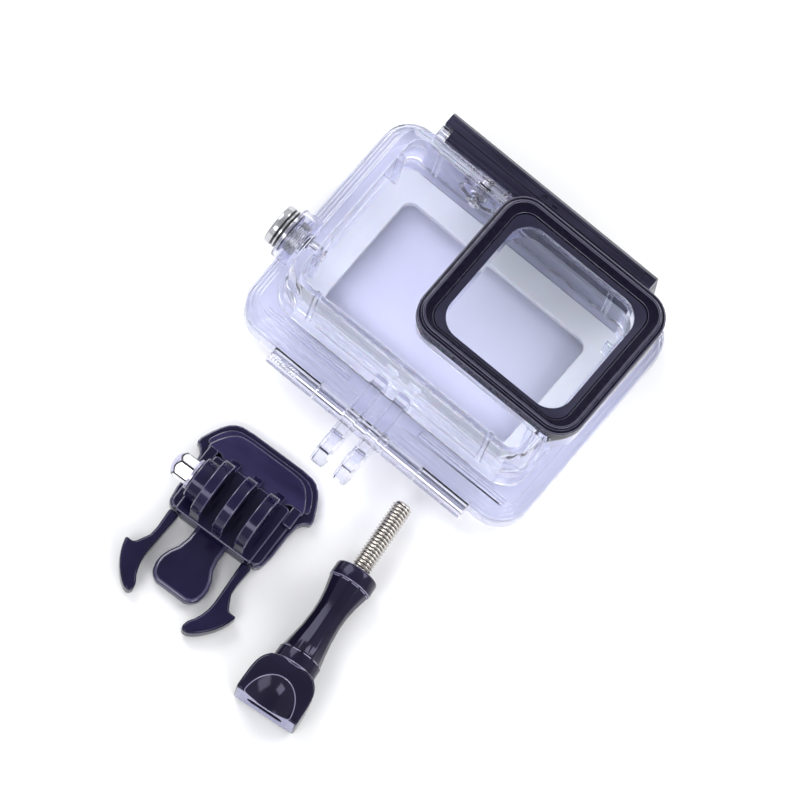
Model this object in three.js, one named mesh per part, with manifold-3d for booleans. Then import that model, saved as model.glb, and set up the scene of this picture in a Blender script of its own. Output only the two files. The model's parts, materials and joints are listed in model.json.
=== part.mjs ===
// Clear dive housing for an action camera, on its back door with the lens port up.
// Beside it lie the two loose pieces of its mount: a three-prong buckle and a thumb screw.
// Millimetres. Origin: centre of the back door's outer face. +X width, +Y towards the latch, +Z lens.
import * as THREE from 'three';
import { mergeVertices } from 'three/addons/utils/BufferGeometryUtils.js';
import Module from 'manifold-3d';

const wasm = await Module();
wasm.setup();

// ---------- driving dimensions ----------
const GAP = 0.3; // clearance between pieces that touch
const CORNER_STEPS = 6; // points on each rounded corner

const CASE_W = 84; // outline of door and flange
const CASE_H = 65;
const CASE_R = 8;
const DOOR_T = 5.4; // door thickness at its rim
const PANEL_T = 2.7; // door thickness inside the rim
const SEAL_W = 68; // silicone seal, outer and inner outline
const SEAL_H = 47.6;
const SEAL_IN_W = 55;
const SEAL_IN_H = 33;
const SEAL_TOP = 5.4;

const FLANGE_Z = DOOR_T + GAP; // lower face of the shell
// Inset and top of each step of the flange and of the door's rim.
const FLANGE_STEPS = [[0, 7.4], [1, 8.3], [2, 9.1], [3, 9.9]];
const RIM_STEPS = [[0, 4.2], [0.9, DOOR_T]];
const BODY_W = 71.6; // shell body at its front face, and at the flange
const BODY_H = 49.2;
const BODY_FOOT_W = 75;
const BODY_FOOT_H = 52;
const BODY_R = 6;
const FRONT_Z = 33.2; // front face of the shell
const CAVITY_W = 66.8;
const CAVITY_H = 45.6;
const CAVITY_TOP = 30.8;
const RIB_REACH = 2; // locating ribs on the side walls
const RIB_REACH_Y = 0.4; // locating ribs on the long walls
const RIB_T = 1.2;
const RIB_FOOT = 12;

const PORT_X = 17.8; // centre of the lens port
const PORT_Y = 4.2;
const BEZEL_W = 48;
const BEZEL_H = 42.6;
const BEZEL_R = 7;
const BEZEL_TOP = 43;
const WINDOW_W = 36;
const WINDOW_H = 33.4;
const WINDOW_Y = 3.8; // the window and its ring sit slightly low in the bezel
const WINDOW_R = 5.8;
const BARREL_TOP = 38;

const MID_X = 1; // centre line of latch, hinge and mount fingers

const HINGE_Y = -34.6;
const HINGE_Z = 5.6;
const KNUCKLE_R = 2.1;
const HINGE_PIN_R = 1;
const PIN_PLAY = 0.15; // between a pin and its knuckles

const FINGER_T = 3.4;
const FINGER_PITCH = 6.8;
const FINGER_Y = -43;
const FINGER_Z = 10.5;
const FINGER_R = 6.5;
const FINGER_BORE_R = 2.7;

const LATCH_LEN = 62;
const LATCH_Y = 27.5; // pivot pin
const LATCH_Z = 29.6;
const LATCH_PIN_R = 0.9;
const LATCH_KNUCKLE_R = 1.35;
const LOCK = { x0: -3.4, x1: 6, y0: 33.7, y1: 35.4, z0: 12, z1: 20 };
const LOCK_TRAVEL = 3;

const SHAFT_R = 0.9; // push shaft of both buttons
// Each button: pocket floor, boss length beyond it, wall under it, and the radii of boss and cap.
const SIDE_BUTTON = {
  at: [-38.2, -11.5, 16], out: [-1, 0, 0], boss: 4.6, wall: 4.8,
  bossR: 6.8, capR: 5.25, capFrom: 3.7, capTo: 8.1,
};
const TOP_BUTTON = {
  at: [-14, 27, 17], out: [0, 1, 0], boss: 3.4, wall: 4.2,
  bossR: 5.4, capR: 4.1, capFrom: 2.6, capTo: 4.1,
};

const BUCKLE = { x: -10.8, y: -71, turn: 3 };
const PIVOT_Z = 13.2;
const FIN_R = 7.5;
const FIN_T = 2.9;
const FIN_PITCH = 6.5;
const FIN_X = 0.6; // centre of the middle fin
const FIN_Y = 0.5; // bore of the fins
const BUCKLE_BORE_R = 2.65;

const SCREW = { x: 21.3, y: -62.3, z: 5.55, turn: 6.2 };
const THREAD_R = 2.5;
const THREAD_LEN = 20;
const COLLAR_R = 5.5;
const KNOB_LEN = 28; // collar face to head
const HEAD_W = 16.8;
const HEAD_T = 10.4;
const KNOB_END = 40.3; // collar face to the head's flat end

// ---------- shape helpers ----------
const polygon = (points) => new THREE.Shape(points.map(([x, y]) => new THREE.Vector2(x, y)));

function roundedRect(w, h, r, cx = 0, cy = 0) {
  const points = [];
  for (let corner = 0; corner < 4; corner++) {
    const sx = corner === 0 || corner === 3 ? 1 : -1;
    const sy = corner < 2 ? 1 : -1;
    for (let i = 0; i <= CORNER_STEPS; i++) {
      const a = (Math.PI / 2) * (corner + i / CORNER_STEPS);
      points.push([cx + sx * (w / 2 - r) + r * Math.cos(a), cy + sy * (h / 2 - r) + r * Math.sin(a)]);
    }
  }
  return points;
}

// Cuts the corners of a closed outline; the corners listed as sharp stay as they are.
function soften(outline, sharp = []) {
  return outline.flatMap((point, i) => {
    if (sharp.includes(i)) {
      return [point];
    }
    const before = outline.at(i - 1);
    const after = outline[(i + 1) % outline.length];
    const between = (other) => [0.75 * point[0] + 0.25 * other[0], 0.75 * point[1] + 0.25 * other[1]];
    return [between(before), between(after)];
  });
}

// A hexagon with a corner at the top.
function hexagon(r, cx, cy) {
  return [0, 1, 2, 3, 4, 5].map((i) => {
    const angle = Math.PI * (0.5 + i / 3);
    return [cx + r * Math.cos(angle), cy + r * Math.sin(angle)];
  });
}

// A solid of the outline between two heights.
function slab(points, z0, z1) {
  const solid = new THREE.ExtrudeGeometry(polygon(points), { depth: z1 - z0, bevelEnabled: false });
  return solid.translate(0, 0, z0);
}

// The outline lies in the Y-Z plane and runs from x0 to x1.
function slabX(points, x0, x1) {
  const solid = slab(points, 0, x1 - x0);
  const toYZ = new THREE.Matrix4().makeBasis(
    new THREE.Vector3(0, 1, 0), new THREE.Vector3(0, 0, 1), new THREE.Vector3(1, 0, 0));
  return solid.applyMatrix4(toYZ).translate(x0, 0, 0);
}

function box(x0, x1, y0, y1, z0, z1) {
  const solid = new THREE.BoxGeometry(x1 - x0, y1 - y0, z1 - z0);
  return solid.translate((x0 + x1) / 2, (y0 + y1) / 2, (z0 + z1) / 2);
}

// A round rod along X.
function rodX(r, x0, x1, y, z, sides = 20) {
  const solid = new THREE.CylinderGeometry(r, r, x1 - x0, sides);
  return solid.rotateZ(Math.PI / 2).translate((x0 + x1) / 2, y, z);
}

// A turned solid: profile of [radius, height] about X at y, z.
function turnedX(profile, y, z, sides = 20) {
  const solid = new THREE.LatheGeometry(profile.map(([r, h]) => new THREE.Vector2(r, h)), sides);
  return solid.rotateZ(-Math.PI / 2).translate(0, y, z);
}

// Scales the outline from its foot size to its top size.
function taper(geometry, z0, z1, footX, footY) {
  const p = geometry.attributes.position;
  for (let i = 0; i < p.count; i++) {
    const t = (z1 - p.getZ(i)) / (z1 - z0);
    p.setX(i, p.getX(i) * (1 + (footX - 1) * t));
    p.setY(i, p.getY(i) * (1 + (footY - 1) * t));
  }
  return geometry;
}

// A turned solid along a button's axis, with heights measured from its pocket floor.
function turnedOn(button, profile, sides = 20) {
  const solid = new THREE.LatheGeometry(profile.map(([r, h]) => new THREE.Vector2(r, h)), sides);
  const outward = new THREE.Vector3(...button.out);
  solid.applyQuaternion(new THREE.Quaternion().setFromUnitVectors(new THREE.Vector3(0, 1, 0), outward));
  return solid.translate(...button.at);
}

const rodOn = (button, r, h0, h1, sides) => turnedOn(button, [[0, h0], [r, h0], [r, h1], [0, h1]], sides);
const ringOn = (button, r0, r1, h0, h1) => turnedOn(
  button, [[r0, h0], [r1, h0], [r1, h1], [r0, h1], [r0, h0]]);

// ---------- solid modelling ----------
function toSolid(geometry) {
  const bare = geometry.clone();
  bare.deleteAttribute('normal');
  bare.deleteAttribute('uv');
  const merged = mergeVertices(bare, 1e-4);
  return new wasm.Manifold(new wasm.Mesh({
    numProp: 3,
    vertProperties: Float32Array.from(merged.attributes.position.array),
    triVerts: Uint32Array.from(merged.index.array),
  }));
}

function toGeometry(solid) {
  const mesh = solid.getMesh();
  const geometry = new THREE.BufferGeometry();
  geometry.setAttribute('position', new THREE.BufferAttribute(mesh.vertProperties, 3));
  geometry.setIndex(new THREE.BufferAttribute(mesh.triVerts, 1));
  geometry.computeVertexNormals();
  return geometry;
}

const join = (...shapes) => toGeometry(shapes.map(toSolid).reduce((a, b) => a.add(b)));
const cut = (shape, ...tools) => toGeometry(
  tools.map(toSolid).reduce((a, b) => a.subtract(b), toSolid(shape)));

function piece(name, geometry, color, roughness, metalness = 0, opacity = 1) {
  const material = new THREE.MeshStandardMaterial({ color, roughness, metalness });
  material.transparent = opacity < 1;
  material.opacity = opacity;
  const mesh = new THREE.Mesh(geometry, material);
  mesh.name = name;
  return mesh;
}

const CLEAR = [0xdfe2f2, 0.08, 0, 0.35];
const SILICONE = [0xcfd4da, 0.55];
const BLACK = [0x19172a, 0.28];
const STEEL = [0xb9b9bd, 0.25, 1];

// ---------- back door ----------
const doorKnuckles = [[-13.9, -5.9], [6.9, 16.6]];
const shellKnuckles = [[-28.1, -14.2], [-5.6, 6.6], [16.9, 30.8]];
const hingeBore = () => rodX(HINGE_PIN_R + PIN_PLAY, -40, 40, HINGE_Y, HINGE_Z, 16);
const latchBore = () => rodX(LATCH_PIN_R + PIN_PLAY, -40, 40, LATCH_Y, LATCH_Z, 16);

// A hinge knuckle with a web that joins it to the case edge between two heights.
function knuckle([x0, x1], z0, z1) {
  const web = box(x0, x1, HINGE_Y, -CASE_H / 2 + 1.5, z0, z1);
  return [rodX(KNUCKLE_R, x0, x1, HINGE_Y, HINGE_Z), web];
}

// Room for the other leaf's knuckle to turn in.
const relief = ([x0, x1]) => rodX(KNUCKLE_R + GAP, x0 - GAP, x1 + GAP, HINGE_Y, HINGE_Z);

// Slabs of the case outline that shrink step by step.
const steppedSlabs = (z0, steps) => steps.map(([inset, top]) => slab(
  roundedRect(CASE_W - 2 * inset, CASE_H - 2 * inset, CASE_R - inset), z0, top));

function backDoor() {
  const recess = roundedRect(SEAL_W + 2 * GAP, SEAL_H + 2 * GAP, 4.3);
  const plate = cut(
    join(...steppedSlabs(0, RIM_STEPS)), slab(recess, PANEL_T, DOOR_T + 1), ...shellKnuckles.map(relief));
  const knuckles = doorKnuckles.flatMap((range) => knuckle(range, HINGE_Z - KNUCKLE_R, DOOR_T));
  return cut(join(plate, ...knuckles), hingeBore());
}

function doorSeal() {
  const outer = slab(roundedRect(SEAL_W, SEAL_H, 4), PANEL_T + GAP, SEAL_TOP);
  const inner = slab(roundedRect(SEAL_IN_W, SEAL_IN_H, 2.5), 0, 10);
  return cut(outer, inner);
}

// ---------- front shell ----------
function locatingRibs() {
  const ribs = [];
  const halfW = CAVITY_W / 2;
  const halfH = CAVITY_H / 2;
  for (const side of [-1, 1]) {
    for (const y of [-15.5, 15.5]) {
      const [x0, x1] = [side * (halfW - RIB_REACH), side * (halfW + 1)].sort((a, b) => a - b);
      ribs.push(box(x0, x1, y - RIB_T / 2, y + RIB_T / 2, RIB_FOOT, CAVITY_TOP + 1));
    }
    for (const x of [-26, 26]) {
      const [y0, y1] = [side * (halfH - RIB_REACH_Y), side * (halfH + 1)].sort((a, b) => a - b);
      ribs.push(box(x - RIB_T / 2, x + RIB_T / 2, y0, y1, RIB_FOOT, CAVITY_TOP + 1));
    }
  }
  return ribs;
}

function mountFinger(x) {
  const web = [[-25.5, 6], [-25.5, 20], [FINGER_Y, 16.6], [FINGER_Y, 6]];
  const disc = rodX(FINGER_R, x - FINGER_T / 2, x + FINGER_T / 2, FINGER_Y, FINGER_Z, 32);
  return [slabX(web.reverse(), x - FINGER_T / 2, x + FINGER_T / 2), disc];
}

function latchEars() {
  return [[MID_X - 31, MID_X - 28.8], [MID_X + 28.8, MID_X + 31]].flatMap(([x0, x1]) => [
    rodX(LATCH_KNUCKLE_R, x0, x1, LATCH_Y, LATCH_Z),
    box(x0, x1, 23.6, LATCH_Y, LATCH_Z - LATCH_KNUCKLE_R, LATCH_Z + 0.6),
  ]);
}

function frontShell() {
  const flange = join(...steppedSlabs(FLANGE_Z, FLANGE_STEPS));
  const body = taper(slab(roundedRect(BODY_W, BODY_H, BODY_R), FLANGE_Z, FRONT_Z), FLANGE_Z, FRONT_Z,
    BODY_FOOT_W / BODY_W, BODY_FOOT_H / BODY_H);
  const barrel = slab(roundedRect(BEZEL_W - 1, BEZEL_H - 1, BEZEL_R - 0.5, PORT_X, PORT_Y), 29, BARREL_TOP);
  const bosses = [SIDE_BUTTON, TOP_BUTTON].map((b) => rodOn(b, b.bossR, -3, b.boss, 32));
  const knuckles = shellKnuckles.flatMap((range) => knuckle(range, FLANGE_Z, HINGE_Z + KNUCKLE_R));
  const fingers = [-1, 1].flatMap((side) => mountFinger(MID_X - 0.5 + side * FINGER_PITCH / 2));
  const solid = join(flange, body, barrel, ...bosses, ...knuckles, ...fingers, ...latchEars());
  const cavity = slab(roundedRect(CAVITY_W, CAVITY_H, 3.6), FLANGE_Z - 1, CAVITY_TOP);
  const bores = [
    ...[SIDE_BUTTON, TOP_BUTTON].flatMap((b) => [
      rodOn(b, b.capR + 0.35, 0, b.boss + 1, 32),
      rodOn(b, 2.4, -1.8, 1, 20),
      rodOn(b, SHAFT_R + GAP, -b.wall - 1, 1, 16),
    ]),
    hingeBore(),
    latchBore(),
    rodX(FINGER_BORE_R, -9, 10, FINGER_Y, FINGER_Z, 24),
  ];
  const portHole = slab(roundedRect(WINDOW_W + 0.4, WINDOW_H + 0.4, WINDOW_R, PORT_X, WINDOW_Y), 20, 50);
  const hollow = cut(solid, cavity, ...bores, ...doorKnuckles.map(relief));
  return cut(join(hollow, ...locatingRibs()), portHole);
}

// ---------- buttons ----------
// The cap rides on a shaft that passes a seal in the wall; a clip inside keeps the spring from
// pushing it out.
function buttonPieces(name, b) {
  const capRim = b.capR - 0.5;
  const cap = turnedOn(b, [
    [0, b.capFrom + 0.9], [SHAFT_R + GAP, b.capFrom + 0.9], [SHAFT_R + GAP, b.capFrom], [b.capR, b.capFrom],
    [b.capR, b.capTo - 0.5], [capRim, b.capTo], [capRim - 0.8, b.capTo], [capRim - 1, b.capTo - 0.3],
    [0, b.capTo - 0.3],
  ], 28);
  return [
    piece(`${name}_cap`, cap, ...STEEL),
    piece(`${name}_shaft`, rodOn(b, SHAFT_R, -b.wall - 1.4, b.capFrom + 0.6, 16), ...STEEL),
    piece(`${name}_seal`, ringOn(b, SHAFT_R + GAP, 2.1, -1.5, -0.3), ...BLACK),
    piece(`${name}_spring`, ringOn(b, b.capR - 2, b.capR - 1, GAP, b.capFrom - GAP), ...STEEL),
    piece(`${name}_clip`, ringOn(b, SHAFT_R + GAP, 2, -b.wall - 0.8, -b.wall - GAP), ...STEEL),
  ];
}

// ---------- lens port ----------
function frame(outer, inner, z0, z1) {
  return cut(slab(outer, z0, z1), slab(inner, z0 - 1, z1 + 1));
}

const portRect = (w, h, r) => roundedRect(w, h, r, PORT_X, PORT_Y);
const windowRect = (w, h, r) => roundedRect(w, h, r, PORT_X, WINDOW_Y);
const GLASS_W = 42;
const GLASS_H = 37.4;
const GLASS_R = 5.5;
const GLASS_Z = 39.2;
const GLASS_T = 1.2;
const OPENING_W = 40; // hole in the bezel
const OPENING_H = 36.2;
const OPENING_R = 5.8;

const portGasket = () => frame(
  portRect(GLASS_W, GLASS_H, GLASS_R), windowRect(WINDOW_W + 1.4, WINDOW_H + 1.4, WINDOW_R),
  BARREL_TOP + GAP, GLASS_Z - GAP);
const portGlass = () => slab(portRect(GLASS_W, GLASS_H, GLASS_R), GLASS_Z, GLASS_Z + GLASS_T);
const portInnerRing = () => frame(
  windowRect(OPENING_W - 2 * GAP, OPENING_H - 2 * GAP, OPENING_R - GAP),
  windowRect(WINDOW_W, WINDOW_H, WINDOW_R),
  GLASS_Z + GLASS_T + GAP, 41.8);

function portBezel() {
  const lower = slab(portRect(BEZEL_W, BEZEL_H, BEZEL_R), BARREL_TOP + GAP, 42);
  const upper = slab(portRect(BEZEL_W - 2.6, BEZEL_H - 2.6, BEZEL_R - 1.3), 41.5, BEZEL_TOP);
  const pocket = slab(
    portRect(GLASS_W + 2 * GAP, GLASS_H + 2 * GAP, GLASS_R + GAP), BARREL_TOP - 1, GLASS_Z + GLASS_T + GAP);
  const opening = slab(windowRect(OPENING_W, OPENING_H, OPENING_R), 36, 50);
  return cut(join(lower, upper), pocket, opening);
}

// ---------- latch ----------
// The lever hangs outside the flange. Its lower end stands clear of the door's edge.
function latchLever() {
  const x0 = MID_X - LATCH_LEN / 2;
  const x1 = MID_X + LATCH_LEN / 2;
  const section = [
    [29.2, 30.9], [31.9, 30.9], [32.9, 29.4], [36, 6], [36, 1.6], [35.2, 0.8], [32.8, 0.8],
    [32.8, 11], [30.4, 27.6], [29.2, 28.3],
  ];
  const plate = slabX(section.reverse(), x0, x1);
  const a = MID_X - 28.4;
  const b = MID_X + 28.4;
  const sleeve = join(
    rodX(LATCH_KNUCKLE_R, a, b, LATCH_Y, LATCH_Z), box(a, b, LATCH_Y, 29.6, LATCH_Z - 1.1, 30.9));
  const lockPocket = box(
    LOCK.x0 - GAP, LOCK.x1 + LOCK_TRAVEL + GAP, LOCK.y0 - GAP, 40, LOCK.z0 - GAP, LOCK.z1 + GAP);
  const buttonWindow = rodOn(TOP_BUTTON, TOP_BUTTON.capR + 0.9, 2, 12, 24);
  return cut(join(plate, sleeve), latchBore(), lockPocket, buttonWindow);
}

// A sliding lock in the lever's outer face, with grip ribs.
function latchLock() {
  const body = box(LOCK.x0, LOCK.x1, LOCK.y0, LOCK.y1, LOCK.z0, LOCK.z1);
  const ribs = [];
  for (let x = LOCK.x0 + 1; x < LOCK.x1 - 1; x += 1.6) {
    ribs.push(box(x, x + 0.8, LOCK.y1 - 0.2, LOCK.y1 + 0.5, LOCK.z0 + 1, LOCK.z1 - 1));
  }
  return join(body, ...ribs);
}

// ---------- loose buckle ----------
// Right halves of the outlines, from the top centre down; the left halves mirror them.
const halfPlate = [[0, 19.9], [9.6, 19.9], [12.6, 18.7], [14.9, 15.6], [17.2, 10.2], [15.4, 9.6],
  [14, 7.4], [14, -4.6], [12, -6.8], [0, -6.8]];
const halfPaddle = [[0, -6], [4.7, -6], [4.7, -11.6], [7, -16.2], [7.1, -20], [5.4, -23], [0, -23]];
const halfCrown = [[0, 18.4], [8.4, 18.4], [11.2, 17.4], [13.4, 14.8], [15.6, 10.2], [13, 9.4],
  [10.6, 10.8], [8.6, 9.2], [0, 9.2]];
const armOutline = [[12, -7.1], [11.6, -14.4], [12.8, -16.8], [14, -18.9], [16.2, -18.8], [15.4, -21.8],
  [13.6, -25], [11, -27.9], [8.8, -29.3], [7.4, -28.9], [7.1, -27.2], [9, -24.2], [9.9, -20.6],
  [9.7, -15.6], [9.2, -7.1]];
const ARM_SHARP = [0, 3, 4, 14]; // root corners and the hook's barb

const mirrored = (points) => points.map(([x, y]) => [-x, y]).reverse();
const doubled = (half) => [...half, ...mirrored(half)].filter(([x], i) => x !== 0 || i < half.length);

function buckleBase() {
  const plate = slab(soften(doubled(halfPlate)).reverse(), 0, 3);
  const paddle = slab(soften(doubled(halfPaddle)).reverse(), 0, 3);
  const crown = slab(doubled(halfCrown).reverse(), 2.5, 5);
  const floor = slab(roundedRect(26, 15, 2, 0, 1.2), 2.5, 4.2);
  const block = box(-11, 11, -7, 9.4, 4, 6.2);
  const fins = [-1, 0, 1].flatMap((i) => {
    const x = FIN_X + i * FIN_PITCH;
    return [rodX(FIN_R, x - FIN_T / 2, x + FIN_T / 2, FIN_Y, PIVOT_Z, 40),
      box(x - FIN_T / 2, x + FIN_T / 2, -6.6, 7.6, 4, PIVOT_Z - 2)];
  });
  const boss = rodX(5.4, -10.8, -6.5, FIN_Y, PIVOT_Z, 32);
  const bore = rodX(BUCKLE_BORE_R, -20, 20, FIN_Y, PIVOT_Z, 20);
  return cut(join(plate, paddle, crown, floor, block, boss, ...fins), bore);
}

const softArm = soften(armOutline, ARM_SHARP);
const buckleArm = (points) => slab(points, 0.5, 4.6);

// An acorn nut with one corner up, against the boss of the outer fin.
function acornNut() {
  const hex = slabX(hexagon(3.7, FIN_Y, PIVOT_Z), -15.2, -11.1);
  const dome = turnedX([[0, -17.3], [1.6, -17.1], [2.7, -16.3], [3.2, -15.2], [3.2, -14.8], [0, -14.8]],
    FIN_Y, PIVOT_Z, 24);
  return cut(join(hex, dome), rodX(2.2, -15.2, -10, FIN_Y, PIVOT_Z, 20));
}

// ---------- loose thumb screw, its axis along the group's Y ----------
function screwKnob() {
  const profile = [[0, -KNOB_LEN - 0.5], [5.6, -KNOB_LEN], [5.6, -KNOB_LEN + 3.4], [4.6, -KNOB_LEN + 7],
    [3.9, -14], [4, -11], [4.9, -5.2], [COLLAR_R, -3.6], [COLLAR_R, -0.6], [5, 0], [0, 0]];
  const stem = new THREE.LatheGeometry(profile.map(([r, h]) => new THREE.Vector2(r, h)), 12);
  const dome = [[-HEAD_W / 2, -KNOB_END], [HEAD_W / 2, -KNOB_END], [HEAD_W / 2, -33], [7, -29.8],
    [4.6, -27.8], [-4.6, -27.8], [-7, -29.8], [-HEAD_W / 2, -33]];
  const head = slab(dome, -HEAD_T / 2, HEAD_T / 2);
  const scoop = new THREE.SphereGeometry(14, 32, 20).scale(0.73, 0.94, 1).translate(0, -40.5, 16.2);
  const slot = box(-5, 5, -KNOB_END - 1, -KNOB_END + 1, -1.6, 1.6);
  const socket = new THREE.CylinderGeometry(THREAD_R + GAP, THREAD_R + GAP, 24, 20).translate(0, -10, 0);
  return cut(join(stem, head), scoop, slot, socket);
}

function screwRod() {
  const profile = [[0, -21], [THREAD_R, -21], [THREAD_R, THREAD_LEN - 0.8], [THREAD_R - 0.7, THREAD_LEN],
    [0, THREAD_LEN]];
  return new THREE.LatheGeometry(profile.map(([r, h]) => new THREE.Vector2(r, h)), 20);
}

// ---------- assembly ----------
const housing = new THREE.Group();
housing.add(
  piece('back_door', backDoor(), ...CLEAR),
  piece('door_seal', doorSeal(), ...SILICONE),
  piece('front_shell', frontShell(), ...CLEAR),
  piece('port_gasket', portGasket(), ...BLACK),
  piece('port_glass', portGlass(), 0xf2f5fb, 0.03, 0, 0.3),
  piece('port_inner_ring', portInnerRing(), 0x32323f, 0.4),
  piece('port_bezel', portBezel(), ...BLACK),
  piece('hinge_pin', rodX(HINGE_PIN_R, -28, 30.7, HINGE_Y, HINGE_Z, 20), ...STEEL),
  piece('latch_pin', rodX(LATCH_PIN_R, MID_X - 30.8, MID_X + 30.8, LATCH_Y, LATCH_Z, 20), ...STEEL),
  piece('latch_lever', latchLever(), ...BLACK),
  piece('latch_lock', latchLock(), ...BLACK),
  ...buttonPieces('side_button', SIDE_BUTTON),
  ...buttonPieces('shutter_button', TOP_BUTTON),
);

const buckle = new THREE.Group();
buckle.position.set(BUCKLE.x, BUCKLE.y, 0);
buckle.rotation.z = THREE.MathUtils.degToRad(BUCKLE.turn);
buckle.add(
  piece('buckle_base', buckleBase(), ...BLACK),
  piece('buckle_arm_right', buckleArm(softArm.toReversed()), ...BLACK),
  piece('buckle_arm_left', buckleArm(mirrored(softArm).toReversed()), ...BLACK),
  piece('acorn_nut', acornNut(), ...STEEL),
);

const screw = new THREE.Group();
screw.position.set(SCREW.x, SCREW.y, SCREW.z);
screw.rotation.z = THREE.MathUtils.degToRad(SCREW.turn);
screw.add(
  piece('screw_knob', screwKnob(), ...BLACK),
  piece('screw_rod', screwRod(), ...STEEL),
);

const model = new THREE.Group();
model.add(housing, buckle, screw);
export default model;
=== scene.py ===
"""Looks of the clear dive housing with its loose buckle and thumb screw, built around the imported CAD."""
import json
import math

import bmesh
import bpy
from mathutils import Matrix, Vector


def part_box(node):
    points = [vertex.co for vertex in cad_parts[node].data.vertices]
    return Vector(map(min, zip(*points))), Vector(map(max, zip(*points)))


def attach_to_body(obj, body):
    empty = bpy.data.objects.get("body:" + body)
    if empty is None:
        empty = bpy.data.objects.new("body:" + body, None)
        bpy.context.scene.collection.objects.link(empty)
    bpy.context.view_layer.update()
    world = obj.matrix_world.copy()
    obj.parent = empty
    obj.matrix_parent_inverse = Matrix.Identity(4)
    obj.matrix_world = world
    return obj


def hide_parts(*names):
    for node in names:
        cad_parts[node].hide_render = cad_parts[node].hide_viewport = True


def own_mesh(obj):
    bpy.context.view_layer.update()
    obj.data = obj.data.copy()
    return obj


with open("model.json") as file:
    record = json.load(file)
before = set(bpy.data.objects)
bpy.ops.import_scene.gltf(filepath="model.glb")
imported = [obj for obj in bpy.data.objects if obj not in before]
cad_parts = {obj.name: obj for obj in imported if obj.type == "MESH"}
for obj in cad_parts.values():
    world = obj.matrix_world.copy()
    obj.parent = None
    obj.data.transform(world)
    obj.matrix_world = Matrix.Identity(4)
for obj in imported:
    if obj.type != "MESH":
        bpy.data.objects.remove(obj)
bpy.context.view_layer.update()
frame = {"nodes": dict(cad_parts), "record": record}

MM = 0.001
NODES = frame["nodes"]
BODY_OF = {node: body for body, nodes in frame["record"]["behaviour"]["bodies"].items() for node in nodes}
SLOT_OF = {part["node"]: part["material_slot"] for part in frame["record"]["subparts"]}


# ---------- places worked out from the frame ----------
def span(node):
    """Lowest corner, highest corner and centre of a CAD node."""
    low, high = (Vector(corner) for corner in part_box(node))
    return low, high, (low + high) / 2


# ---------- materials ----------
class Shader:
    """A node material built step by step around one Principled shader."""

    def __init__(self, name, color, roughness, metallic=0.0, **sockets):
        self.material = bpy.data.materials.new(name)
        self.material.use_nodes = True
        self.tree = self.material.node_tree
        self.bsdf = self.tree.nodes["Principled BSDF"]
        self.set("Base Color", (*color, 1.0))
        self.set("Roughness", roughness)
        self.set("Metallic", metallic)
        for socket, value in sockets.items():
            self.set(socket.replace("_", " "), value)
        self.coords = self.add("ShaderNodeTexCoord").outputs["Object"]
        self.normal = None

    def add(self, kind, **values):
        node = self.tree.nodes.new(kind)
        for key, value in values.items():
            if hasattr(node, key):
                setattr(node, key, value)
            else:
                node.inputs[key.replace("_", " ")].default_value = value
        return node

    def set(self, socket, value):
        self.bsdf.inputs[socket].default_value = value

    def link(self, out, socket):
        self.tree.links.new(out, socket)

    def noise(self, scale, detail=3.0, stretch=(1, 1, 1)):
        mapping = self.add("ShaderNodeMapping")
        mapping.inputs["Scale"].default_value = stretch
        self.link(self.coords, mapping.inputs["Vector"])
        noise = self.add("ShaderNodeTexNoise", Scale=scale, Detail=detail)
        self.link(mapping.outputs["Vector"], noise.inputs["Vector"])
        return noise.outputs["Fac"]

    def ramp(self, fac, stops):
        ramp = self.add("ShaderNodeValToRGB")
        elements = ramp.color_ramp.elements
        while len(elements) < len(stops):
            elements.new(0.5)
        for element, (position, value) in zip(elements, stops):
            element.position = position
            element.color = (*value, 1.0) if len(value) == 3 else value
        self.link(fac, ramp.inputs["Fac"])
        return ramp.outputs["Color"]

    def vary_color(self, scale, dark, light, **noise):
        self.link(self.ramp(self.noise(scale, **noise), [(0.35, dark), (0.65, light)]),
                  self.bsdf.inputs["Base Color"])
        return self

    def vary_roughness(self, scale, low, high, **noise):
        color = self.ramp(self.noise(scale, **noise), [(0.3, (low,) * 3), (0.7, (high,) * 3)])
        self.link(color, self.bsdf.inputs["Roughness"])
        return self

    def bump(self, scale, depth, **noise):
        bump = self.add("ShaderNodeBump", Strength=0.6, Distance=depth)
        self.link(self.noise(scale, **noise), bump.inputs["Height"])
        if self.normal:
            self.link(self.normal, bump.inputs["Normal"])
        self.normal = bump.outputs["Normal"]
        self.link(self.normal, self.bsdf.inputs["Normal"])
        return self


def grey(value):
    return (value, value, value)


def clear_plastic(name, tint, shade, roughness, ior=1.34, **sockets):
    """Polished polycarbonate; the shade is the colour of the light that its shadow lets through."""
    shader = Shader(name, tint, roughness, Transmission_Weight=1.0, IOR=ior, **sockets)
    shader.vary_roughness(260, roughness, 2 * roughness + 0.003)
    shader.bump(120, 0.000004, detail=2.0)
    path = shader.add("ShaderNodeLightPath")
    through = shader.add("ShaderNodeBsdfTransparent")
    through.inputs["Color"].default_value = (*shade, 1.0)
    mix = shader.add("ShaderNodeMixShader")
    shader.link(path.outputs["Is Shadow Ray"], mix.inputs["Fac"])
    shader.link(shader.bsdf.outputs["BSDF"], mix.inputs[1])
    shader.link(through.outputs["BSDF"], mix.inputs[2])
    shader.link(mix.outputs["Shader"], shader.tree.nodes["Material Output"].inputs["Surface"])
    return shader.material


COOL = (0.74, 0.71, 1.0, 1.0)  # cast of the reflections on the black parts


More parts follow.
